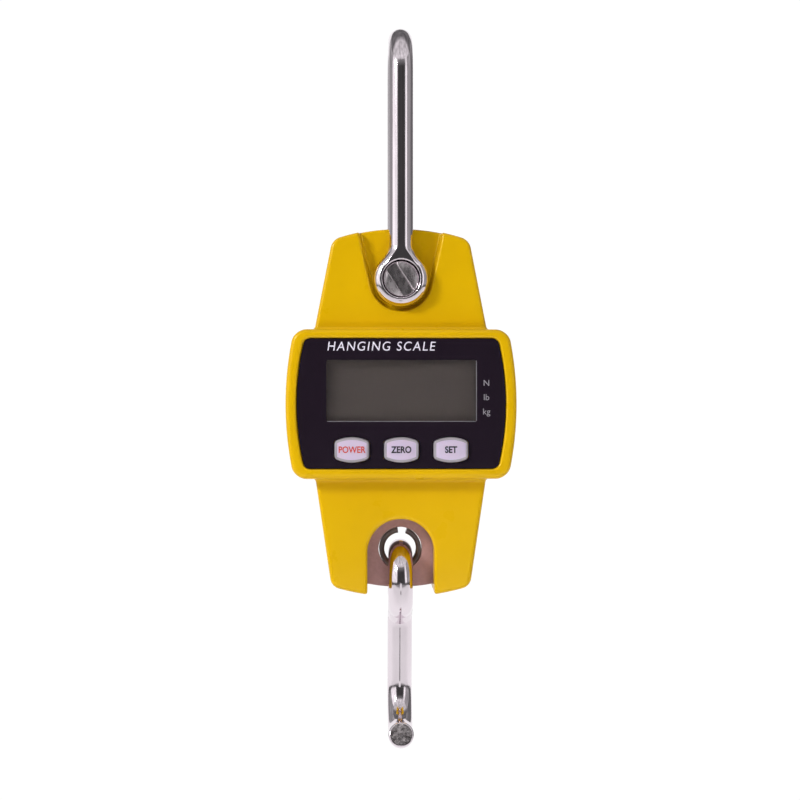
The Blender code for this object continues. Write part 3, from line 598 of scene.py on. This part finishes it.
class Nodes:
    """Builds one procedural material's nodes."""

    def __init__(self, name):
        self.material = bpy.data.materials.new(name)
        self.material.use_nodes = True
        self.tree = self.material.node_tree
        self.shader = self.tree.nodes["Principled BSDF"]
        self.where = self.add("ShaderNodeTexCoord").outputs["Object"]
        self.relief = None

    def add(self, kind, **values):
        node = self.tree.nodes.new(kind)
        for key, value in values.items():
            setattr(node, key, value)
        return node

    def link(self, a, b):
        self.tree.links.new(a, b)

    def noise(self, scale, stretch=(1, 1, 1), detail=3.0):
        """Noise with about this many features per metre."""
        mapping = self.add("ShaderNodeMapping")
        mapping.inputs["Scale"].default_value = stretch
        self.link(self.where, mapping.inputs["Vector"])
        noise = self.add("ShaderNodeTexNoise")
        noise.inputs["Scale"].default_value = scale
        noise.inputs["Detail"].default_value = detail
        self.link(mapping.outputs["Vector"], noise.inputs["Vector"])
        return noise.outputs["Fac"]

    def span(self, source, low, high):
        """Maps noise from its useful range to low..high."""
        ramp = self.add("ShaderNodeMapRange")
        ramp.inputs["From Min"].default_value = 0.3
        ramp.inputs["From Max"].default_value = 0.7
        ramp.inputs["To Min"].default_value = low
        ramp.inputs["To Max"].default_value = high
        self.link(source, ramp.inputs["Value"])
        return ramp.outputs["Result"]

    def colours(self, source, first, second):
        mix = self.add("ShaderNodeMix", data_type="RGBA")
        mix.inputs["A"].default_value = (*first, 1)
        mix.inputs["B"].default_value = (*second, 1)
        self.link(self.span(source, 0.0, 1.0), mix.inputs["Factor"])
        self.link(mix.outputs["Result"], self.shader.inputs["Base Color"])

    def roughness(self, source, low, high):
        self.link(self.span(source, low, high), self.shader.inputs["Roughness"])

    def bump(self, source, depth):
        """Relief this many metres deep, on top of any relief added before it."""
        bump = self.add("ShaderNodeBump")
        bump.inputs["Strength"].default_value = 1.0
        bump.inputs["Distance"].default_value = depth
        self.link(source, bump.inputs["Height"])
        if self.relief:
            self.link(self.relief, bump.inputs["Normal"])
        self.relief = bump.outputs["Normal"]
        self.link(self.relief, self.shader.inputs["Normal"])

    def set(self, **values):
        for key, value in values.items():
            self.shader.inputs[key.replace("_", " ")].default_value = value


def surface(name, first, second, scale, rough, metallic=0.0, bumps=(), stretch=(1, 1, 1), **extra):
    """A material whose colour, roughness and relief all vary with noise."""
    nodes = Nodes(name)
    nodes.colours(nodes.noise(scale, stretch), first, second)
    nodes.roughness(nodes.noise(scale * 2.3, stretch), *rough)
    for features, depth in bumps:
        nodes.bump(nodes.noise(features, stretch, 2.0), depth)
    nodes.set(Metallic=metallic, **extra)
    return nodes.material


YELLOW = surface("yellow_paint", (0.72, 0.425, 0.001), (0.67, 0.392, 0.001), 45, (0.26, 0.34),
                 bumps=[(900, 0.000010), (110, 0.00003)], Specular_IOR_Level=0.3,
                 Specular_Tint=(1.0, 0.82, 0.35, 1), Coat_Weight=0.18, Coat_Roughness=0.07)
STEEL = surface("polished_steel", (0.80, 0.725, 0.775), (0.73, 0.655, 0.705), 170, (0.07, 0.13),
                1.0, bumps=[(1300, 0.0000018), (230, 0.000034)], stretch=(1, 1, 0.35))
HEAD_STEEL = surface("screw_steel", (0.78, 0.71, 0.74), (0.64, 0.58, 0.60), 330, (0.20, 0.33), 1.0,
                     bumps=[(1500, 0.000022), (230, 0.00035)], stretch=(1, 1, 0.45))
CUT_STEEL = surface("sawn_steel", (0.62, 0.57, 0.585), (0.20, 0.175, 0.18), 420, (0.22, 0.45), 1.0,
                    bumps=[(900, 0.00005), (300, 0.00050)])
BUSH_STEEL = surface("bush_steel", (0.25, 0.20, 0.19), (0.17, 0.135, 0.13), 320, (0.30, 0.44), 1.0,
                     bumps=[(1800, 0.000004)])
PANEL = surface("black_panel", (0.0112, 0.0062, 0.0126), (0.0126, 0.0071, 0.0140), 60, (0.16, 0.20))
LCD = surface("display_glass", (0.118, 0.097, 0.096), (0.126, 0.104, 0.101), 90, (0.20, 0.26))
LUG = surface("cell_alloy", (0.46, 0.265, 0.27), (0.40, 0.228, 0.235), 700, (0.52, 0.66), 0.1,
              bumps=[(4200, 0.00002)])
BUTTON = surface("button_silicone", (0.60, 0.505, 0.655), (0.56, 0.47, 0.615), 120, (0.34, 0.44),
                 bumps=[(2600, 0.000004)], Subsurface_Weight=0.15, Subsurface_Scale=0.002)
# Darker grey for the buttons' rim: painted shade standing in for the shading on the rim's slope.
BUTTON_RIM_SHADE = surface("button_rim_shade", (0.36, 0.33, 0.36), (0.30, 0.27, 0.30), 140, (0.36, 0.46))
ZINC = surface("zinc_plate", (0.62, 0.62, 0.60), (0.50, 0.49, 0.44), 420, (0.24, 0.40), 1.0,
               bumps=[(2600, 0.000006)])
BOARD = surface("circuit_board", (0.016, 0.115, 0.045), (0.012, 0.085, 0.033), 300, (0.3, 0.45))
RUBBER = surface("black_rubber", (0.018, 0.018, 0.019), (0.026, 0.026, 0.027), 500, (0.7, 0.85))
GREY_RUBBER = surface("keypad_rubber", (0.20, 0.20, 0.215), (0.17, 0.17, 0.18), 400, (0.6, 0.75))
WHITE = surface("white_plastic", (0.72, 0.72, 0.69), (0.66, 0.66, 0.63), 300, (0.45, 0.6))
WRAP = surface("battery_sleeve", (0.02, 0.05, 0.19), (0.025, 0.065, 0.23), 120, (0.2, 0.3))
FOIL = surface("label_foil", (0.60, 0.60, 0.62), (0.54, 0.54, 0.56), 240, (0.34, 0.46), 0.75,
               bumps=[(1500, 0.000004)], stretch=(0.05, 1, 1))
FILM = surface("gauge_film", (0.46, 0.20, 0.025), (0.38, 0.16, 0.02), 500, (0.3, 0.4))
PRINT = surface("white_print", (0.78, 0.74, 0.84), (0.72, 0.68, 0.78), 800, (0.45, 0.55))
# Grey for the unit print; also used for the painted highlight strip along the window's edge.
GREY_PRINT_AND_HIGHLIGHT = surface("grey_print_and_highlight", (0.30, 0.28, 0.31), (0.26, 0.24, 0.27), 800, (0.45, 0.55))
INK = surface("black_ink", (0.012, 0.011, 0.016), (0.018, 0.016, 0.022), 800, (0.45, 0.55))
RED_INK = surface("red_ink", (0.62, 0.045, 0.015), (0.55, 0.04, 0.014), 800, (0.45, 0.55))


def clear_window_material():
    nodes = Nodes("clear_window")
    nodes.roughness(nodes.noise(200), 0.03, 0.07)
    nodes.set(Base_Color=(0.92, 0.92, 0.90, 1), Transmission_Weight=1.0, IOR=1.2)
    return nodes.material


def paint(obj, *mats):
    obj.data.materials.clear()
    for mat in mats:
        obj.data.materials.append(mat)
    return obj


def rounded(obj, width, segments=3):
    """Softens a CAD node's shown edges with a modifier; its own mesh stays as it is."""
    bevel = obj.modifiers.new("edges", "BEVEL")
    bevel.width = width * MM
    bevel.segments = segments
    bevel.limit_method = "ANGLE"
    bevel.angle_limit = math.radians(40)
    return obj


def stand_in(piece, body, node):
    """piece rides on body and is shown in place of the CAD node."""
    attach(piece, body)
    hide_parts(node)
    return piece


# ---------------------------------------------------------------- pieces

def make_shackle_group():
    low, high = box("shackle_bow")
    bow = paint(field_mesh("shackle_bar", bow_field, low, high, BOW_STEP), STEEL)
    stand_in(bow, "shackle", "shackle_bow")
    low, high = box("pin_screw")
    screw = paint(field_mesh("slotted_screw", head_field, low, high, HEAD_STEP), HEAD_STEEL)
    stand_in(screw, "shackle", "pin_screw")
    paint(rounded(frame["nodes"]["shackle_pin"], 0.3), HEAD_STEEL)


def make_covers():
    for node, field, name, step in (("front_cover", front_cover_field, "front_shell", FRONT_STEP),
                                    ("rear_cover", rear_cover_field, "rear_shell", REAR_STEP)):
        low, high = box(node)
        shell = paint(field_mesh(name, field, low, high, step), YELLOW)
        stand_in(shell, "housing", node)
    paint(rounded(frame["nodes"]["battery_door"], 0.35), YELLOW)


CAPITAL_SHARE = 0.7            # height of a capital as a share of the font's size


def make_print(name, text, x, z, y, height, mat, body, align="CENTER", wide=1.0, bold=0.0,
               lean=0.0, spacing=1.0):
    """Flat printed lettering; height is that of its capitals, bold thickens each stroke in mm."""
    curve = bpy.data.curves.new(name, "FONT")
    curve.body = text
    curve.size = height / CAPITAL_SHARE * MM
    curve.align_x = align
    curve.align_y = "CENTER"
    curve.extrude = 0.01 * MM
    curve.offset = bold * MM
    curve.shear = lean
    curve.space_character = spacing
    obj = bpy.data.objects.new(name, curve)
    bpy.context.scene.collection.objects.link(obj)
    obj.rotation_euler = (math.radians(90), 0, 0)
    obj.scale.x = wide
    obj.location = Vector((x, y, z)) * MM
    curve.materials.append(mat)
    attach(obj, body)


def make_face():
    paint(rounded(frame["nodes"]["face_panel"], 0.25), PANEL)
    paint(frame["nodes"]["lcd_glass"], LCD)
    paint(frame["nodes"]["display_window"], clear_window_material())
    front = PANEL_LOW.y - 0.02
    make_print("title_print", "HANGING SCALE", -27.2, -110.9, front, 3.3, PRINT, "housing",
               "LEFT", 0.93, 0.0, 0.15, 1.2)
    for text, z in (("N", -124.2), ("lb", -129.4), ("kg", -134.6)):
        make_print(f"unit_print_{text}", text, 31.0, z, front, 2.2, GREY_PRINT_AND_HIGHLIGHT, "housing")
    words = (("POWER", RED_INK), ("ZERO", INK), ("SET", INK))
    for i, (name, (word, ink)) in enumerate(zip(BUTTONS, words)):
        cx = (i - 1) * BUTTON_PITCH
        cap = make_button(name, cx)
        paint(cap, BUTTON, BUTTON_RIM_SHADE)
        # Faces within the outline band get the grey material: painted shade on the rim's slope; the
        # rest is the lilac top.
        for face in cap.data.polygons:
            centre = face.center / MM
            rim = button_2d(np.array(centre.x), np.array(centre.z), cx) > -SHADED_RIM_W
            face.material_index = 1 if rim else 0
        stand_in(cap, name, name)
        make_print(f"legend_{name}", word, cx, BUTTON_Z, box(name)[0].y - 0.03, 2.3, ink, name,
                   wide=0.86, bold=0.06 if ink is RED_INK else 0.11)


def make_window_highlight():
    """Painted highlight: a light grey strip along the window's right and lower sides, where the
    glass edge catches light.
    """
    half = 0.1
    right, left = WINDOW_X + WINDOW_HALF[0] - half, WINDOW_X - WINDOW_HALF[0] + half
    high, low = WINDOW_Z + WINDOW_HALF[1] - half, WINDOW_Z - WINDOW_HALF[1] + half
    front, back = PANEL_LOW.y + 0.15, PANEL_LOW.y + 0.6
    rings = []
    for x, z, dx, dz in ((right, high, half, 0), (right, low, half, -half), (left, low, 0, -half)):
        rings.append([(x - dx, front, z - dz), (x + dx, front, z + dz), (x + dx, back, z + dz),
                      (x - dx, back, z - dz)])
    highlight_strip = paint(loft("window_highlight", rings), GREY_PRINT_AND_HIGHLIGHT)
    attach(highlight_strip, "housing")


def make_hook_group():
    hook = paint(make_hook(), STEEL, CUT_STEEL)
    for face in hook.data.polygons:
        face.material_index = 1 if len(face.vertices) > 4 else 0
    stand_in(hook, "load_hook", "load_hook")
    stand_in(paint(make_bush(), BUSH_STEEL), "hook_bush", "hook_bush")
    paint(rounded(frame["nodes"]["load_cell"], 0.3), LUG)


def finish_inside():
    """Materials for the pieces inside, and for the screws and plate on the back."""
    plain = {
        "main_board": BOARD, "keypad_mat": GREY_RUBBER, "contact_strip": RUBBER, "lcd_frame": WHITE,
        "gauge_cable": RUBBER, "rating_plate": FOIL, "strain_gauge_upper": FILM,
        "strain_gauge_lower": FILM,
    }
    for node, mat in plain.items():
        paint(frame["nodes"][node], mat)
    for name, obj in frame["nodes"].items():
        if "_screw_" in name or name.startswith(("contact_plate", "battery_spring")):
            paint(obj, ZINC)
        elif name.startswith("battery_") and name[8:].isdigit():
            paint(obj, WRAP)


# ---------------------------------------------------------------- studio

# Lengths in the studio are metres.
ROOM_R = 1.3
ROOM_TOP = 0.85
CEILING = 0.45
FLOOR_Z = -0.42
FLOOR_NEAR = -2.2
FLOOR_FAR = 0.7
FLOOR_HALF_W = 2.5
SWEEP_R = 0.5
WALL_TOP = 2.4
LAMP_AIM_Z = -0.13
CAMERA_Z = -0.1303
CAMERA_DISTANCE = 0.55
CAMERA_YAW = math.radians(1.5)
CAMERA_LENS = 65.7
SENSOR_W = 36.0
# Azimuths of each screen and how bright it is: soft boxes at both sides of a dark camera end.
SCREENS = {
    "camera_end": (-30, 35, 0.055),
    "left_flag_edge": (-37, -30, 0.35),
    "left_softbox": (-88, -37, 1.15),
    "left_rear": (-150, -88, 0.34),
    "right_flag_edge": (35, 41, 0.30),
    "right_softbox": (41, 57, 1.15),
    "right_side": (57, 100, 0.36),
    "right_rear": (100, 150, 0.16),
}


def emitter(name, levels, axis="Z", uneven=0.0):
    """Glow that runs between (place in metres, strength) pairs along an axis, a little unevenly."""
    mat = bpy.data.materials.new(name)
    mat.use_nodes = True
    tree = mat.node_tree
    tree.nodes.clear()
    where = tree.nodes.new("ShaderNodeTexCoord")
    split = tree.nodes.new("ShaderNodeSeparateXYZ")
    tree.links.new(where.outputs["Object"], split.inputs[0])
    strength = None
    for (low, before), (high, after) in zip(levels, levels[1:]):
        fade = tree.nodes.new("ShaderNodeMapRange")
        fade.interpolation_type = "SMOOTHSTEP"
        fade.inputs["From Min"].default_value = low
        fade.inputs["From Max"].default_value = high
        fade.inputs["To Min"].default_value = 0.0 if strength else before
        fade.inputs["To Max"].default_value = after - before if strength else after
        tree.links.new(split.outputs[axis], fade.inputs["Value"])
        rise = fade.outputs["Result"]
        strength = add(tree, "ADD", strength, rise) if strength else rise
    if uneven:
        noise = tree.nodes.new("ShaderNodeTexNoise")
        noise.inputs["Scale"].default_value = 3.5
        tree.links.new(where.outputs["Object"], noise.inputs["Vector"])
        swing = tree.nodes.new("ShaderNodeMapRange")
        swing.inputs["From Min"].default_value = 0.35
        swing.inputs["From Max"].default_value = 0.65
        swing.inputs["To Min"].default_value = 1 - uneven
        swing.inputs["To Max"].default_value = 1 + uneven
        tree.links.new(noise.outputs["Fac"], swing.inputs["Value"])
        strength = add(tree, "MULTIPLY", strength, swing.outputs["Result"])
    emission = tree.nodes.new("ShaderNodeEmission")
    tree.links.new(strength, emission.inputs["Strength"])
    output = tree.nodes.new("ShaderNodeOutputMaterial")
    tree.links.new(emission.outputs[0], output.inputs[0])
    return mat


def add(tree, operation, a, b):
    node = tree.nodes.new("ShaderNodeMath")
    node.operation = operation
    tree.links.new(a, node.inputs[0])
    tree.links.new(b, node.inputs[1])
    return node.outputs[0]


def staged(name, points, faces, mat, seen=True):
    """A piece of the studio. An unseen one lights and reflects, but the camera looks through it."""
    mesh = bpy.data.meshes.new(name)
    mesh.from_pydata(points, [], faces)
    mesh.shade_smooth()
    mesh.materials.append(mat)
    obj = new_object(name, mesh)
    obj.visible_camera = seen


def sector(name, strength, first, last):
    """Upright curved screen between two azimuths, in degrees right of the camera's side."""
    steps = 12
    points, faces = [], []
    for k in range(steps + 1):
        a = math.radians(first + (last - first) * k / steps)
        for z in (FLOOR_Z, ROOM_TOP):
            points.append((math.sin(a) * ROOM_R, -math.cos(a) * ROOM_R, z))
        if k < steps:
            faces.append((2 * k, 2 * k + 2, 2 * k + 3, 2 * k + 1))
    levels = [(-0.36, 0.08), (-0.24, strength), (0.35, strength),
              (ROOM_TOP, (strength + CEILING) / 2)]
    staged(name, points, faces, emitter(name + "_glow", levels, uneven=0.22), seen=False)


def sheet(half_w, near, far, lift, name, levels):
    """Unseen sheet lying just above the floor."""
    points = [(x, y, FLOOR_Z + lift) for y in (near, far) for x in (-half_w, half_w)]
    staged(name, points, [(0, 1, 3, 2)], emitter(name + "_glow", levels, "Y"), seen=False)


def make_floor():
    """Pale floor that sweeps up behind the scale, with two unseen sheets for the hook to mirror."""
    profile = [(FLOOR_NEAR, FLOOR_Z), (FLOOR_FAR, FLOOR_Z)]
    profile += [(FLOOR_FAR + SWEEP_R * math.sin(a), FLOOR_Z + SWEEP_R * (1 - math.cos(a)))
                for a in (math.pi / 2 * k / 12 for k in range(1, 13))]
    profile.append((FLOOR_FAR + SWEEP_R, WALL_TOP))
    points = [(x, y, z) for y, z in profile for x in (-FLOOR_HALF_W, FLOOR_HALF_W)]
    faces = [(2 * i, 2 * i + 1, 2 * i + 3, 2 * i + 2) for i in range(len(profile) - 1)]
    mat = emitter("pale_floor", [(-0.4, 1.0), (0.05, 1.03)], "Y")
    staged("floor", points, faces, mat)
    sheet(1.35, -1.35, 0.05, 0.001, "front_floor",
          [(-0.85, 0.30), (-0.50, 0.86), (-0.28, 0.86), (0.05, 1.03)])
    # A dark strip, which the hook's shank mirrors as a thin line.
    sheet(0.03, -0.42, -0.29, 0.002, "paper_gap", [(-1.0, 0.28), (1.0, 0.28)])


def upright(name, half_w, y, low, high, levels):
    """Flat screen across the view, which only lights and reflects."""
    points = [(-half_w, y, low), (half_w, y, low), (half_w, y, high), (-half_w, y, high)]
    staged(name, points, [(0, 1, 2, 3)], emitter(name + "_glow", levels), seen=False)


def make_lamp(name, azimuth, distance, height, power, size, mirrored):
    """Area light aimed at the scale's middle; a mirrored one also shows as a highlight."""
    a = math.radians(azimuth)
    light = bpy.data.lights.new(name, "AREA")
    light.energy = power
    light.size = size
    lamp = bpy.data.objects.new(name, light)
    bpy.context.scene.collection.objects.link(lamp)
    lamp.location = (math.sin(a) * distance, -math.cos(a) * distance, height)
    aim = Vector((0, 0, LAMP_AIM_Z)) - lamp.location
    lamp.rotation_euler = aim.to_track_quat("-Z", "Y").to_euler()
    lamp.visible_camera = False
    lamp.visible_glossy = mirrored


def make_studio():
    make_floor()
    for name, (first, last, strength) in SCREENS.items():
        sector(name, strength, first, last)
    r = ROOM_R + 0.05
    overhead = [(-0.9, 0.75), (-0.1, 0.65), (0.25, 0.16)]
    corners = [(-r, -r, ROOM_TOP), (r, -r, ROOM_TOP), (r, r, ROOM_TOP), (-r, r, ROOM_TOP)]
    glow = emitter("ceiling_glow", overhead, "Y", 0.3)
    staged("ceiling", corners, [(0, 1, 2, 3)], glow, seen=False)
    upright("low_reflector", 0.075, -0.50, -0.41, -0.25, [(-0.3, 0.95), (-0.25, 0.80)])
    make_lamp("key_light", -52, 1.1, 0.42, 9.0, 0.22, True)
    make_lamp("fill_light", 4, 0.50, -0.40, 2.4, 0.30, False)
    make_lamp("rear_light", 160, 1.1, 0.30, 8.0, 0.7, False)
    world = bpy.data.worlds.new("studio")
    world.use_nodes = True
    world.node_tree.nodes["Background"].inputs["Color"].default_value = (1, 1, 1, 1)
    world.node_tree.nodes["Background"].inputs["Strength"].default_value = 1.0
    bpy.context.scene.world = world


def make_camera():
    """Level with the scale's middle, and a little to its left as the camera sees it."""
    camera = bpy.data.cameras.new("camera")
    camera.sensor_width = SENSOR_W
    camera.lens = CAMERA_LENS
    obj = bpy.data.objects.new("camera", camera)
    bpy.context.scene.collection.objects.link(obj)
    obj.location = (-CAMERA_DISTANCE * math.sin(CAMERA_YAW),
                    -CAMERA_DISTANCE * math.cos(CAMERA_YAW), CAMERA_Z)
    obj.rotation_euler = (math.radians(90), 0, -CAMERA_YAW)
    bpy.context.scene.camera = obj


make_shackle_group()
make_covers()
make_face()
make_window_highlight()
make_hook_group()
finish_inside()
make_studio()
make_camera()
bpy.context.scene.view_settings.view_transform = "Standard"
bpy.context.scene.cycles.max_bounces = 8
